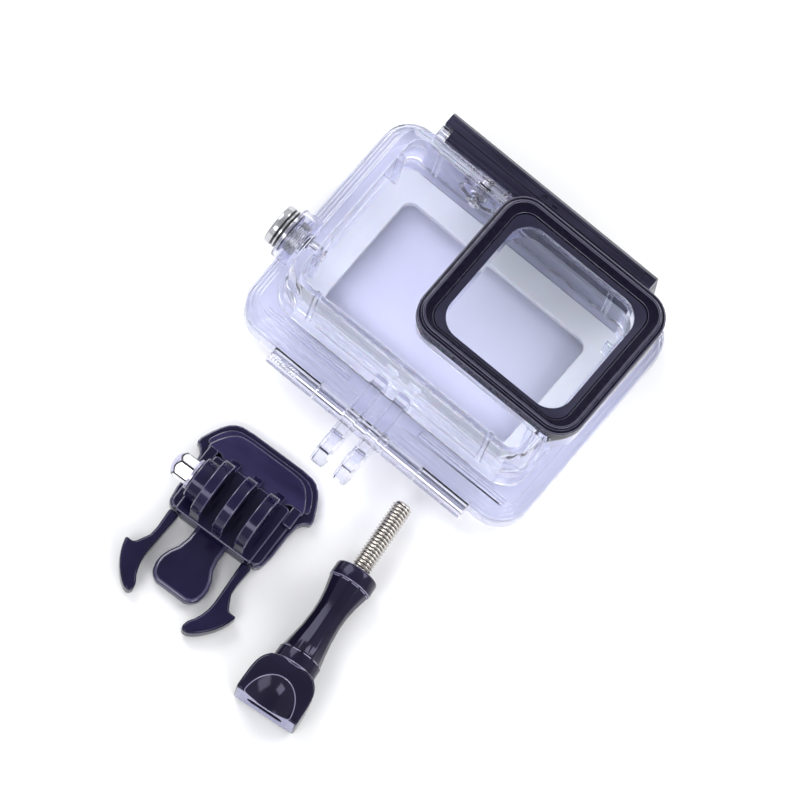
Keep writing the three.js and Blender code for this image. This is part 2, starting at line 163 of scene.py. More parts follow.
def make_materials():
    made = {
        "clear_case": clear_plastic("clear_case", (0.872, 0.877, 0.955), (0.86, 0.865, 0.90), 0.01, 1.26),
        # painted shade: the clear parts' rounded edges get a darker tint that draws dark lines; the strong
        # coat adds real reflections
        "clear_edge_painted_shade": clear_plastic("clear_edge_painted_shade", (0.76, 0.77, 0.85), (0.80, 0.805, 0.84), 0.02,
                                    Coat_Weight=1.0, Coat_IOR=2.0),
        "port_glass": clear_plastic("port_glass", (0.82, 0.835, 0.87), (0.9, 0.9, 0.92), 0.0, 1.2),
    }
    made["calm_wall"] = clear_plastic("calm_wall", (0.86, 0.87, 0.93), (0.86, 0.865, 0.90), 0.0, 1.03)
    made["frosted_rim"] = (
        Shader("frosted_rim", (0.93, 0.93, 0.985), 0.3, Transmission_Weight=0.75, IOR=1.2)
        .vary_roughness(260, 0.22, 0.38).material)
    made["silicone"] = (
        Shader("silicone", (0.64, 0.66, 0.69), 0.5, Subsurface_Weight=0.2, Subsurface_Scale=0.002)
        .vary_color(120, (0.62, 0.64, 0.67), (0.66, 0.68, 0.71)).bump(700, 0.00006).material)
    made["black_trim"] = (
        Shader("black_trim", (0.005, 0.004, 0.011), 0.26, Specular_IOR_Level=0.14, Specular_Tint=COOL)
        .vary_roughness(400, 0.22, 0.34).bump(900, 0.00002).material)
    # painted highlight: the bezel's rounded edges are coloured lighter than its black
    made["trim_edge_painted_highlight"] = (
        Shader("trim_edge_painted_highlight", (0.09, 0.086, 0.14), 0.2, Coat_Weight=0.3)
        .vary_roughness(400, 0.14, 0.26).material)
    made["grey_ring"] = (
        Shader("grey_ring", (0.013, 0.012, 0.027), 0.5, Specular_IOR_Level=0.25, Specular_Tint=COOL)
        .vary_color(300, (0.011, 0.010, 0.023), (0.015, 0.014, 0.031)).bump(1400, 0.00004).material)
    made["black_rubber"] = (
        Shader("black_rubber", grey(0.02), 0.6).vary_roughness(500, 0.5, 0.7).bump(1200, 0.00005).material)
    made["latch_black"] = (
        Shader("latch_black", (0.014, 0.012, 0.030), 0.32, Specular_IOR_Level=0.3, Specular_Tint=COOL)
        .vary_color(420, (0.008, 0.007, 0.018), (0.024, 0.022, 0.042), stretch=(0.12, 1, 1))
        .vary_roughness(300, 0.24, 0.46, stretch=(0.3, 1, 1)).bump(700, 0.00003).material)
    # painted highlight: the lever's rounded edges are coloured lighter than its black
    made["latch_edge_painted_highlight"] = (
        Shader("latch_edge_painted_highlight", (0.06, 0.055, 0.09), 0.28).vary_roughness(300, 0.2, 0.4).material)
    made["steel_pin"] = (
        Shader("steel_pin", grey(0.86), 0.16, 1.0)
        .vary_roughness(800, 0.12, 0.26, stretch=(0.05, 1, 1))
        .bump(1500, 0.00001, stretch=(0.05, 1, 1)).material)
    made["button_metal"] = (
        Shader("button_metal", (0.56, 0.56, 0.58), 0.12, 1.0)
        .vary_roughness(600, 0.1, 0.24).bump(900, 0.00001).material)
    # painted shade: near-black for the button caps' rounded edges, the thread's trough and the outlines of
    # the nut's flats
    made["metal_painted_shade"] = (
        Shader("metal_painted_shade", (0.05, 0.05, 0.055), 0.3, 0.6).vary_roughness(600, 0.2, 0.4).material)
    made["spring_steel"] = (
        Shader("spring_steel", grey(0.5), 0.25, 1.0).vary_roughness(900, 0.2, 0.35).material)
    made["buckle_black"] = (
        Shader("buckle_black", (0.008, 0.006, 0.026), 0.14, Specular_IOR_Level=0.34, Specular_Tint=COOL)
        .vary_color(70, (0.005, 0.004, 0.020), (0.010, 0.008, 0.032))
        .vary_roughness(260, 0.08, 0.2).bump(500, 0.00003).bump(55, 0.0003, detail=1.0).material)
    # painted shade: a dull, barely reflective copy of the buckle's black for the arms' sides
    made["arm_side_painted_shade"] = (
        Shader("arm_side_painted_shade", (0.008, 0.007, 0.020), 0.7, Specular_IOR_Level=0.03)
        .vary_roughness(300, 0.6, 0.8).bump(700, 0.00003).material)
    # painted sheen: lighter streaks in the colour of the crest and crown stand in for reflections
    made["buckle_painted_sheen"] = (
        Shader("buckle_painted_sheen", (0.03, 0.026, 0.07), 0.14, Specular_IOR_Level=0.34, Specular_Tint=COOL)
        .vary_color(110, (0.008, 0.006, 0.032), (0.034, 0.028, 0.088), stretch=(0.25, 1, 1))
        .vary_roughness(260, 0.08, 0.2).bump(500, 0.00003).bump(55, 0.0003, detail=1.0).material)
    # painted highlight: the buckle's rounded edges are coloured lighter than its black
    made["buckle_edge_painted_highlight"] = (
        Shader("buckle_edge_painted_highlight", (0.042, 0.036, 0.088), 0.14, Coat_Weight=0.5)
        .vary_roughness(300, 0.1, 0.22).material)
    made["knob_black"] = (
        Shader("knob_black", (0.007, 0.006, 0.018), 0.1, Specular_IOR_Level=0.3, Specular_Tint=COOL)
        .vary_color(90, (0.005, 0.004, 0.012), (0.009, 0.007, 0.021))
        .vary_roughness(260, 0.09, 0.18).bump(700, 0.00002).material)
    # painted reflection: a lavender-grey colour on the knob's end face stands in for the floor it reflects
    made["knob_end_painted_reflection"] = (
        Shader("knob_end_painted_reflection", (0.26, 0.26, 0.40), 0.3)
        .vary_roughness(300, 0.2, 0.4).bump(900, 0.00003).material)
    # painted highlight: the knob's rounded edges are coloured lighter than its black
    made["knob_edge_painted_highlight"] = (
        Shader("knob_edge_painted_highlight", (0.16, 0.15, 0.24), 0.1, Coat_Weight=0.6)
        .vary_roughness(300, 0.08, 0.18).material)
    made["nut_steel"] = (
        Shader("nut_steel", (0.95, 0.95, 0.97), 0.16, 0.35).vary_roughness(500, 0.12, 0.24).material)
    # painted shade: a lavender-grey colour on the nut's collar and on the dome round its flats
    made["nut_rim_painted_shade"] = (
        Shader("nut_rim_painted_shade", (0.52, 0.51, 0.66), 0.3, 0.8).vary_roughness(500, 0.24, 0.38).material)
    made["thread_steel"] = (
        Shader("thread_steel", (0.62, 0.59, 0.55), 0.2, 1.0)
        .vary_color(500, (0.58, 0.55, 0.52), (0.68, 0.65, 0.61)).vary_roughness(700, 0.16, 0.28).material)
    return made


MATERIALS = make_materials()


# ---------- mesh tools ----------
def new_object(name, mesh, slot):
    obj = bpy.data.objects.new(name, mesh)
    bpy.context.scene.collection.objects.link(obj)
    obj.data.materials.clear()
    obj.data.materials.append(MATERIALS[slot])
    return obj


def smooth_by_angle(obj, degrees=32):
    mesh = obj.data
    for polygon in mesh.polygons:
        polygon.use_smooth = True
    limit = math.radians(degrees)
    bm = bmesh.new()
    bm.from_mesh(mesh)
    for edge in bm.edges:
        edge.smooth = len(edge.link_faces) == 2 and edge.calc_face_angle(0) < limit
    bm.to_mesh(mesh)
    bm.free()


def apply_modifiers(obj):
    depsgraph = bpy.context.evaluated_depsgraph_get()
    mesh = bpy.data.meshes.new_from_object(obj.evaluated_get(depsgraph))
    obj.modifiers.clear()
    old = obj.data
    obj.data = mesh
    bpy.data.meshes.remove(old)


def round_edges(obj, width, segments=3, angle=28, edge=None, clamp=True):
    """Rounds the sharp edges; the rounding can carry a material of its own, which paints highlights along
    the edges of black parts and shade along those of clear and metal parts.
    """
    bevel = obj.modifiers.new("rounded edges", "BEVEL")
    bevel.use_clamp_overlap = clamp
    if edge:
        obj.data.materials.append(MATERIALS[edge])
        bevel.material = len(obj.data.materials) - 1
    bevel.width = width
    bevel.segments = segments
    bevel.limit_method = "ANGLE"
    bevel.angle_limit = math.radians(angle)
    bevel.miter_outer = "MITER_ARC"
    apply_modifiers(obj)


def calm_faces(obj):
    """Lets the large flat faces rule the shading, so that they stay flat beside rounded edges."""
    weighted = obj.modifiers.new("calm faces", "WEIGHTED_NORMAL")
    weighted.keep_sharp = True
    weighted.weight = 100
    apply_modifiers(obj)


def combine(obj, tool, operation):
    """Joins the tool to the object or cuts it away, and drops the tool."""
    boolean = obj.modifiers.new("combine", "BOOLEAN")
    boolean.object = tool
    boolean.operation = operation
    boolean.solver = "EXACT"
    boolean.material_mode = "TRANSFER"
    apply_modifiers(obj)
    bpy.data.objects.remove(tool)


def darken(obj, finish_and_painted_light, place, chosen):
    """Gives a second material to the faces whose middle, in millimetres in the place's frame, is chosen: a
    real finish on the shell and the door, painted light and shade on the arms, the knob, the thread and the
    nut.
    """
    obj.data.materials.append(MATERIALS[finish_and_painted_light])
    inward = place.inverted()
    for polygon in obj.data.polygons:
        if chosen(inward @ polygon.center / MM):
            polygon.material_index = len(obj.data.materials) - 1


def attach(obj, *nodes):
    """The piece stands for the CAD nodes, on their body."""
    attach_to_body(obj, BODY_OF[nodes[0]])
    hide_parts(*nodes)


def rounded_copy(node, width, edge=None, details=(), segments=3, clamp=True):
    """The CAD node's mesh with its flat faces merged, its details cut or added and its edges rounded."""
    bm = bmesh.new()
    bm.from_mesh(NODES[node].data)
    bm.transform(NODES[node].matrix_world)
    bmesh.ops.remove_doubles(bm, verts=bm.verts, dist=0.000002)
    bmesh.ops.dissolve_limit(bm, angle_limit=math.radians(0.6), verts=bm.verts, edges=bm.edges)
    obj = from_bmesh(node, bm, SLOT_OF[node])
    for tool, operation in details:
        combine(obj, tool, operation)
    round_edges(obj, width, segments, edge=edge, clamp=clamp)
    smooth_by_angle(obj)
    calm_faces(obj)
    return obj


def from_bmesh(node, bm, slot, place=Matrix.Identity(4)):
    bm.transform(place)
    bmesh.ops.recalc_face_normals(bm, faces=bm.faces)
    mesh = bpy.data.meshes.new(f"{node}_look")
    bm.to_mesh(mesh)
    bm.free()
    return new_object(f"{node}_look", mesh, slot)


def skin(bm, rings, closed=False):
    """Joins rings of points into a surface, with capped ends unless it runs round on itself."""
    made = [[bm.verts.new(point) for point in ring] for ring in rings]
    count = len(rings[0])
    pairs = list(zip(made, made[1:])) + ([(made[-1], made[0])] if closed else [])
    for ring, following in pairs:
        for i in range(count):
            j = (i + 1) % count
            bm.faces.new((ring[i], ring[j], following[j], following[i]))
    if not closed:
        bm.faces.new(made[0])
        bm.faces.new(made[-1])


def turn(steps):
    """The angles of one full turn in equal steps."""
    return [2 * math.pi * k / steps for k in range(steps)]


def ring_y(radius, height, segments, shape=None):
    """A ring of points round the Y axis; shape gives the radius factor at an angle."""
    points = []
    for angle in turn(segments):
        reach = radius * (shape(angle) if shape else 1)
        points.append((reach * math.cos(angle) * MM, height * MM, reach * math.sin(angle) * MM))
    return points


def flat_ring(outline, z):
    return [(x * MM, y * MM, z * MM) for x, y in outline]


def prism(name, slot, place, outline, z0, z1, rounding=0.0, segments=3):
    bm = bmesh.new()
    skin(bm, [flat_ring(outline, z0), flat_ring(outline, z1)])
    obj = from_bmesh(name, bm, slot, place)
    if rounding:
        round_edges(obj, rounding * MM, segments, 40)
    return obj


def soften(outline, rounds=2, keep=()):
    """Cuts the corners of a closed outline again and again; the kept corners stay sharp."""
    points = [(x, y, i in keep) for i, (x, y) in enumerate(outline)]
    for _ in range(rounds):
        cut = []
        for (x0, y0, sharp0), (x1, y1, sharp1) in zip(points, points[1:] + points[:1]):
            if sharp0:
                cut.append((x0, y0, True))
            else:
                cut.append((0.75 * x0 + 0.25 * x1, 0.75 * y0 + 0.25 * y1, False))
            if not sharp1:
                cut.append((0.25 * x0 + 0.75 * x1, 0.25 * y0 + 0.75 * y1, False))
        points = cut
    return [(x, y) for x, y, _ in points]


def rounded_rect(w, h, r, cx=0.0, cy=0.0, steps=8):
    points = []
    for corner, (sx, sy) in enumerate([(1, 1), (-1, 1), (-1, -1), (1, -1)]):
        for i in range(steps + 1):
            angle = math.pi / 2 * (corner + i / steps)
            x = cx + sx * (w / 2 - r) + r * math.cos(angle)
            y = cy + sy * (h / 2 - r) + r * math.sin(angle)
            points.append((x, y))
    return points


def loops(outline, steps):
    """Rounded rectangles from (width, height, radius, centre y); a step is how far in and how high."""
    w, h, r, y = outline
    return [flat_ring(rounded_rect(w - 2 * d, h - 2 * d, max(r - d, 1.0), PORT_X, y), z) for d, z in steps]


def frame_rings(node, slot, rings, edge):
    """A closed frame skinned over loops round the lens port; its rounded edges take the given material, on
    the bezel a painted highlight.
    """
    bm = bmesh.new()
    skin(bm, rings, closed=True)
    obj = from_bmesh(node, bm, slot)
    round_edges(obj, 0.1 * MM, 2, 30, edge)
    smooth_by_angle(obj, 24)
    calm_faces(obj)
    return obj


# ---------- the housing ----------
PORT_X = 17.8                      # middle of the lens port, mm
BEZEL = (48, 42.6, 7.0, 4.2)       # width, height, corner radius and centre y
POCKET = (42.5, 37.9, 5.75, 4.2)   # round the glass
OPENING = (40, 36.2, 4.2, 3.8)
RING = (39.5, 35.7, 4.0, 3.8)
WINDOW = (36, 33.4, 5.8, 3.8)
PORT_WALL = (31, 37.9)             # from and to height of the wall of the port hole
PAST_WALL = 0.35                   # how far round the window its wall reaches
DOOR_CORNER = (34, 24.5)           # x and y where the door's corners are centred
DOOR_ROUND = 7.75                  # the rim's outside lies farther from there than this
DOOR_RIM = (0.4, 4.0)              # from and to height of the rim
HINGE = (-34.6, 5.6)               # y and z of the hinge pin
LATCH_PIN = (27.5, 29.6)           # y and z of the latch pin

ROUNDED = {                        # plain pieces and the width of their rounded edges, mm
    "door_seal": 0.35, "port_glass": 0.12, "port_gasket": 0.1, "latch_lock": 0.15,
    "side_button_shaft": 0.1, "shutter_button_shaft": 0.1,
    "side_button_clip": 0.08, "shutter_button_clip": 0.08,
    "side_button_seal": 0.15, "shutter_button_seal": 0.15,
}
EDGE = 0.22                        # rounding of the large moulded pieces, mm


def bezel():
    """A low outer ledge, a fine ridge, and a wide band that falls towards the window."""
    ledge = [(0.0, 38.3), (0.0, 41.7), (0.25, 42.0), (1.0, 42.1)]
    ridge = [(1.15, 42.75), (1.35, 43.0), (1.75, 43.0), (1.95, 42.7), (2.15, 42.6)]
    outside = loops(BEZEL, ledge + ridge)
    inside = loops(OPENING, [(-0.3, 42.45), (0.0, 42.3), (0.0, 40.7)])
    inside += loops(POCKET, [(0, 40.7), (0, 38.3)])
    # The bezel's rounded edges carry a painted highlight.
    attach(frame_rings("port_bezel", "black_trim", outside + inside, "trim_edge_painted_highlight"), "port_bezel")


def inner_ring():
    """A matt frame that slopes down to the window."""
    outside = loops(RING, [(0.0, 40.7), (0.0, 42.0), (0.1, 42.1)])
    inside = loops(WINDOW, [(-0.15, 41.5), (0.0, 41.35), (0.0, 40.7)])
    attach(frame_rings("port_inner_ring", "grey_ring", outside + inside, "grey_ring"), "port_inner_ring")


def disc(x, y, radius, z0, z1):
    """A short round tool that cuts the seat of a rivet."""
    outline = [(x + radius * math.cos(a), y + radius * math.sin(a)) for a in turn(32)]
    return prism("cutter", "latch_black", Matrix.Identity(4), outline, z0, z1)


def groove(x0, x1, y0, y1, z0, z1, finish_and_painted_light="clear_edge_painted_shade"):
    """The cut of a plain block; the groove's walls take the block's material, by default the darker clear
    tint that paints shade lines.
    """
    block = prism("cutter", finish_and_painted_light, Matrix.Identity(4), [(x0, y0), (x1, y0), (x1, y1), (x0, y1)], z0, z1)
    return block, "DIFFERENCE"


def front_shell():
    """The shell with fine grooves in its shoulder and flange, two of them with black walls that paint dark
    lines of shade; the wall of the port hole stays calm.
    """
    cuts = [groove(-29.5, -7.5, 23.3, 24.1, 32.3, 34), groove(-27.0, -7.5, 21.6, 21.9, 32.8, 34),
            # Painted shade: the two black-walled grooves draw dark lines in the clear shell.
            groove(-24.0, 25.0, -25.9, -25.65, 8.6, 9.4, finish_and_painted_light="black_rubber"),
            groove(-38.55, -38.35, -4.0, 19.0, 9.4, 10.2, finish_and_painted_light="black_rubber")]
    for y in (-28.8, -28.0, -27.2):
        cuts += [groove(-35.0, -10.0, y, y + 0.2, 9.3, 10.2, finish_and_painted_light="clear_case"),
                 groove(11.5, 37.0, y, y + 0.2, 9.3, 10.2, finish_and_painted_light="clear_case")]
    # The shell's rounded edges carry the darker clear tint of painted shade.
    shell = rounded_copy("front_shell", EDGE * MM, "clear_edge_painted_shade", cuts, clamp=False)
    width, height, _, centre_y = WINDOW
    low, high = PORT_WALL

    def in_port_hole(point):
        across, along = abs(point.x - PORT_X), abs(point.y - centre_y)
        return low < point.z < high and across < width / 2 + PAST_WALL and along < height / 2 + PAST_WALL
    darken(shell, "calm_wall", Matrix.Identity(4), in_port_hole)
    attach(shell, "front_shell")


def back_door():
    """The door, with the outside of its rim a little frosted."""
    # The door's rounded edges carry the darker clear tint of painted shade.
    door = rounded_copy("back_door", EDGE * MM, "clear_edge_painted_shade", clamp=False)

    def on_rim(point):
        past_x = max(abs(point.x) - DOOR_CORNER[0], 0)
        past_y = max(abs(point.y) - DOOR_CORNER[1], 0)
        low, high = DOOR_RIM
        return low < point.z < high and math.hypot(past_x, past_y) > DOOR_ROUND
    darken(door, "frosted_rim", Matrix.Identity(4), on_rim)
    attach(door, "back_door")


def latch_lever():
    """The lever with the grooves along its top, a rivet seat, a small slot and a recessed end."""
    black = "latch_black"
    cuts = [groove(-29.4, 31.4, 29.0, 29.25, 30.5, 32, finish_and_painted_light=black),
            groove(-29.0, 31.0, 31.0, 31.2, 30.6, 32, finish_and_painted_light=black),
            (disc(-0.7, 29.9, 0.95, 30.6, 32), "DIFFERENCE"),
            groove(1.8, 3.4, 29.6, 30.2, 30.5, 32, finish_and_painted_light=black),
            groove(28.6, 31.2, 29.6, 31.6, 30.6, 32, finish_and_painted_light=black)]
    # The lever's rounded edges carry a painted highlight.
    lever = rounded_copy("latch_lever", EDGE * MM, "latch_edge_painted_highlight", cuts)
    attach(lever, "latch_lever")


def pin(node, radius, x0, x1, centre, knurled):
    """A steel pin along X with chamfered ends; a stretch of it carries crossed grooves."""
    y, z = centre
    count, segments = round((x1 - x0) / 0.2), 40
    bm = bmesh.new()
    rings = []
    for i in range(count + 1):
        x = x0 + (x1 - x0) * i / count
        rough = knurled[0] < x < knurled[1]
        end = min(1.0, 0.75 + 1.2 * min(x - x0, x1 - x))
        ring = []
        for angle in turn(segments):
            crest = abs(math.sin(5 * angle + 4 * x)) * abs(math.sin(5 * angle - 4 * x)) if rough else 1.0
            reach = radius * end * (0.72 + 0.28 * crest)
            ring.append((x * MM, (y + reach * math.cos(angle)) * MM, (z + reach * math.sin(angle)) * MM))
        rings.append(ring)
    skin(bm, rings)
    obj = from_bmesh(node, bm, "steel_pin")
    smooth_by_angle(obj, 30)
    attach(obj, node)


def button_frame(node):
    """A button's place with +Y along its axis, the length of its spring and the spring's radius."""
    low, high, middle = span(f"{node}_spring")
    outward = Vector((-1, 0, 0)) if node == "side_button" else Vector((0, 1, 0))
    onto_axis = Vector((0, 1, 0)).rotation_difference(outward).to_matrix().to_4x4()
    length = abs((high - low).dot(outward))
    foot = middle - outward * length / 2
    across = (high - low) - outward * (high - low).dot(outward)
    return Matrix.Translation(foot) @ onto_axis, length / MM, max(abs(v) for v in across) / 2 / MM


def spring(node):
    """A coil spring in place of the sleeve that stands for it."""
    place, length, radius = button_frame(node)
    turns, wire = 4.5, 0.28
    steps = int(turns * 24)
    bm = bmesh.new()
    rings = []
    for i in range(steps + 1):
        angle = 2 * math.pi * turns * i / steps
        height = wire + (length - 2 * wire) * i / steps
        centre = Vector(((radius - wire) * math.cos(angle), height, (radius - wire) * math.sin(angle)))
        outward = Vector((math.cos(angle), 0, math.sin(angle)))
        rings.append([(centre + wire * (outward * math.cos(a) + Vector((0, math.sin(a), 0)))) * MM
                      for a in turn(8)])
    skin(bm, rings)
    obj = from_bmesh(f"{node}_spring", bm, "spring_steel", place)
    smooth_by_angle(obj, 60)
    attach(obj, f"{node}_spring")
    outward = place.to_3x3() @ Vector((0, 1, 0))
    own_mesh(obj)


# ---------- the loose buckle and its nut ----------
BUCKLE_PLACE = Matrix.Translation((-0.0108, -0.071, 0)) @ Matrix.Rotation(math.radians(3), 4, "Z")
FIN_X, FIN_Y = 0.6, 0.5  # middle fin and bore of the three fins, mm
FIN_R, FIN_T, FIN_PITCH = 7.5, 2.9, 6.5
PIVOT_Z = 13.2
ARM_SHADE_TOP = 1.9       # below this height the arms' sides are a duller copy of their black, painted shade
# right halves of the buckle's outlines, mm
HALF_PLATE = [(0, 19.9), (9.6, 19.9), (12.6, 18.7), (14.9, 15.6), (17.2, 10.2), (15.4, 9.6), (14, 7.4),
              (14, -4.6), (12, -6.8), (0, -6.8)]
HALF_CREST = [(0, 18.5), (8.9, 18.5), (11.7, 17.4), (13.7, 14.9), (15.2, 11.4), (12.6, 11.2), (0, 11.2)]
HALF_PADDLE = [(0, -5), (4.5, -5), (4.5, -11.6), (7, -16.2), (7.1, -20), (5.4, -23), (0, -23)]
HALF_CROWN = [(0, 17.4), (7.9, 17.4), (10.4, 16.4), (12.6, 13.8), (14.2, 10.6), (13, 9.4), (10.6, 10.8),
              (8.6, 9.2), (0, 9.2)]
NUT_FLAT = 3.05          # from the nut's axis to each flat
NUT_COLLAR = [(3.2, 11.1), (4.1, 11.15), (4.1, 11.75), (3.8, 11.9)]
NUT_FOOT, NUT_SHOULDER, NUT_TIP = 11.95, 13.4, 17.28
NUT_LINE = 0.16          # half the depth over which the painted dark outline (painted shade) of a flat runs
NUT_CORNER = 26          # degrees from the middle of a flat to where its corner is cut


def doubled(half):
    """A closed outline from its right half."""
    return half + [(-x, y) for x, y in reversed(half) if x]


def buckle_block(outline, z0, z1, rounding, finish_and_painted_light="buckle_black"):
    block = prism("buckle_base", finish_and_painted_light, BUCKLE_PLACE, outline, z0, z1)
    # The block's rounded edges carry a painted highlight.
    round_edges(block, rounding * MM, edge="buckle_edge_painted_highlight")
    return block


def fin(x, half):
    """A disc on the pivot line with its foot and the gusset behind it."""
    outline = [(FIN_R * math.cos(a) + FIN_Y, FIN_R * math.sin(a) + PIVOT_Z)
               for a in (math.radians(-20 + 10 * k) for k in range(23))]
    outline += [(FIN_Y - 7.1, 4.5), (11.5, 4.5), (11.3, 5.6), (8.4, 8.4)]
    bm = bmesh.new()
    skin(bm, [[((x + side * half) * MM, y * MM, z * MM) for y, z in outline] for side in (-1, 1)])
    piece = from_bmesh("buckle_base", bm, "buckle_black", BUCKLE_PLACE)
    # The fin's rounded edges carry a painted highlight.
    round_edges(piece, 0.35 * MM, edge="buckle_edge_painted_highlight")
    return piece


def pivot_rod(radius, x0, x1):
    bm = bmesh.new()
    skin(bm, [[(x * MM, (FIN_Y + radius * math.cos(a)) * MM, (PIVOT_Z + radius * math.sin(a)) * MM)
               for a in turn(40)] for x in (x0, x1)])
    return from_bmesh("buckle_base", bm, "buckle_black", BUCKLE_PLACE)


def buckle_base():
    """Plate with a raised crest, thumb paddle, crown, and three fins on a ribbed block; the crest and crown
    carry a painted sheen.
    """
    base = buckle_block(soften(doubled(HALF_PLATE), 1), 0, 3, 0.45)
    # The crest and crown carry the painted sheen.
    pieces = [buckle_block(soften(doubled(HALF_CREST), 1), 2.6, 3.7, 0.3, finish_and_painted_light="buckle_painted_sheen"),
              buckle_block(soften(doubled(HALF_PADDLE), 1), 0, 3, 1.1),
              buckle_block(soften(doubled(HALF_CROWN), 1), 3.2, 5.0, 0.45, finish_and_painted_light="buckle_painted_sheen"),
              buckle_block(rounded_rect(26, 15, 2, 0, 1.2, 3), 2.5, 4.2, 0.4),
              buckle_block(rounded_rect(22, 16.4, 0.8, 0, 1.2, 2), 4, 6.2, 0.4)]
    pieces += [buckle_block(rounded_rect(2.6, 5.2, 0.5, side * 12.2, 8.2, 2), 3, 5.6, 0.35)
               for side in (-1, 1)]
    pieces += [fin(FIN_X + i * FIN_PITCH, FIN_T / 2) for i in (-1, 0, 1)]
    boss = pivot_rod(5.4, -10.8, -6.5)
    # The boss's rounded edges carry a painted highlight.
    round_edges(boss, 0.4 * MM, edge="buckle_edge_painted_highlight")
    for piece in pieces + [boss]:
        combine(base, piece, "UNION")
    combine(base, pivot_rod(2.65, -20, 20), "DIFFERENCE")
    smooth_by_angle(base, 35)
    calm_faces(base)
    attach(base, "buckle_base")


def buckle_arms():
    for node in ("buckle_arm_left", "buckle_arm_right"):
        arm = rounded_copy(node, 0.7 * MM, segments=4, clamp=False)
        # The arms' sides below this height carry painted shade.
        darken(arm, "arm_side_painted_shade", Matrix.Identity(4), lambda point: point.z < ARM_SHADE_TOP)
        attach(arm, node)


# ---------- the loose thumb screw, its axis along the local Y ----------
SCREW_PLACE = Matrix.Translation((0.0213, -0.0623, 0.00555)) @ Matrix.Rotation(math.radians(6.2), 4, "Z")
THREAD = {"radius": 2.5, "depth": 0.55, "pitch": 0.9, "from": 0.3, "to": 20.0}
THREAD_SHADE_RADIUS = 2.08       # below this radius the thread's trough is painted dark (painted shade)
STEM = [(-28.4, 5.2), (-28.0, 5.6), (-24.9, 5.6), (-24.4, 5.3), (-21.5, 4.75), (-18.0, 4.2),
        (-14.0, 3.9), (-11.0, 3.95), (-8.0, 4.35), (-5.2, 5.0), (-4.2, 5.25), (-3.9, 5.5),
        (-0.7, 5.5), (-0.2, 5.25), (0.0, 4.8)]  # height and radius
HEAD_END = -40.3
HEAD = [(-8.4, HEAD_END), (8.4, HEAD_END), (8.3, -33.4), (7.4, -30.3), (5.0, -27.9), (-5.0, -27.9),
        (-7.4, -30.3), (-8.3, -33.4)]
SCOOP_CENTRE = (0, -0.0405, 0.0162)  # m
SCOOP_SIZE = (10.2, 13.2, 14.0, 1)   # half axes of the ball that scoops the head, mm


def thread_rod():
    """Rolled thread: the groove winds round the rod, and the tip is chamfered."""
    radius, depth, pitch = THREAD["radius"], THREAD["depth"], THREAD["pitch"]
    bm = bmesh.new()
    rings = []
    rows = round((THREAD["to"] - THREAD["from"]) / 0.09)
    for row in range(rows + 1):
        height = THREAD["from"] + (THREAD["to"] - THREAD["from"]) * row / rows
        tip = min(1.0, 0.72 + 0.35 * (THREAD["to"] - height))

        def reach(angle, height=height, tip=tip):
            phase = (height / pitch - angle / (2 * math.pi)) % 1.0
            crest = min(1.0, 2.3 * min(phase, 1 - phase))
            return tip * (1 - depth / radius * (1 - crest))
        rings.append(ring_y(radius, height, 40, reach))
    skin(bm, rings)
    obj = from_bmesh("screw_rod", bm, "thread_steel", SCREW_PLACE)

    # painted shade: the faces deep in the thread's trough are painted near-black
    def in_trough(point):
        return math.hypot(point.x, point.z) < THREAD_SHADE_RADIUS and point.y < THREAD["to"] - 0.5
    darken(obj, "metal_painted_shade", SCREW_PLACE, in_trough)
    smooth_by_angle(obj, 50)
    attach(obj, "screw_rod")


def knob():
    """Twelve-sided waisted stem with two round collars, and an arched head with a scoop and a coin slot;
    its end face carries a painted reflection and its rounded edges a painted highlight.
    """
    bm = bmesh.new()
    sector = 2 * math.pi / 12
    rings = []
    for height, radius in STEM:
        flat = 0.0 if height > -4.0 or height < -24.5 else 0.9

        def shape(angle, flat=flat):
            chord = math.cos(sector / 2) / math.cos((angle % sector) - sector / 2)
            return 1 + flat * (chord - 1)
        rings.append(ring_y(radius, height, 72, shape))
    skin(bm, rings)
    stem = from_bmesh("screw_stem", bm, "knob_black", SCREW_PLACE)
    head = prism("screw_knob", "knob_black", SCREW_PLACE, soften(HEAD, 2, keep=(0, 1)), -5.2, 5.2, 0.7, 4)
    scoop = bmesh.new()
    bmesh.ops.create_uvsphere(scoop, u_segments=64, v_segments=48, radius=MM)
    scoop.transform(Matrix.Translation(SCOOP_CENTRE) @ Matrix.Diagonal(SCOOP_SIZE))
    combine(head, from_bmesh("scoop", scoop, "knob_black", SCREW_PLACE), "DIFFERENCE")
    slot = prism("slot", "knob_black", SCREW_PLACE @ Matrix.Rotation(math.pi / 2, 4, "X"),
                 rounded_rect(9.6, 2.6, 1.25), 39.3, 42)
    combine(head, slot, "DIFFERENCE")
    combine(head, stem, "UNION")
    # The knob's rounded edges carry a painted highlight.
    round_edges(head, 0.14 * MM, 2, 35, "knob_edge_painted_highlight", clamp=False)
    # The end face carries the painted reflection.
    darken(head, "knob_end_painted_reflection", SCREW_PLACE, lambda point: point.y < HEAD_END + 0.05)
    smooth_by_angle(head, 30)
    attach(head, "screw_knob")


def nut_dome(height):
    """Radius of the turned dome that the flats are cut into."""
    rise = max(0.0, (height - NUT_SHOULDER) / (NUT_TIP - NUT_SHOULDER))
    return 0.6 + 3.15 * math.sqrt(max(0.0, 1 - rise ** 2.4))


def off_flat(angle):
    """Degrees from the middle of the nearest flat."""
    return abs((math.degrees(angle) + 30) % 60 - 30)


def nut_flat(angle):
    """How far a flat lies from the axis along a direction; the corners of the hexagon are cut a little."""
    return NUT_FLAT / math.cos(math.radians(min(off_flat(angle), NUT_CORNER)))


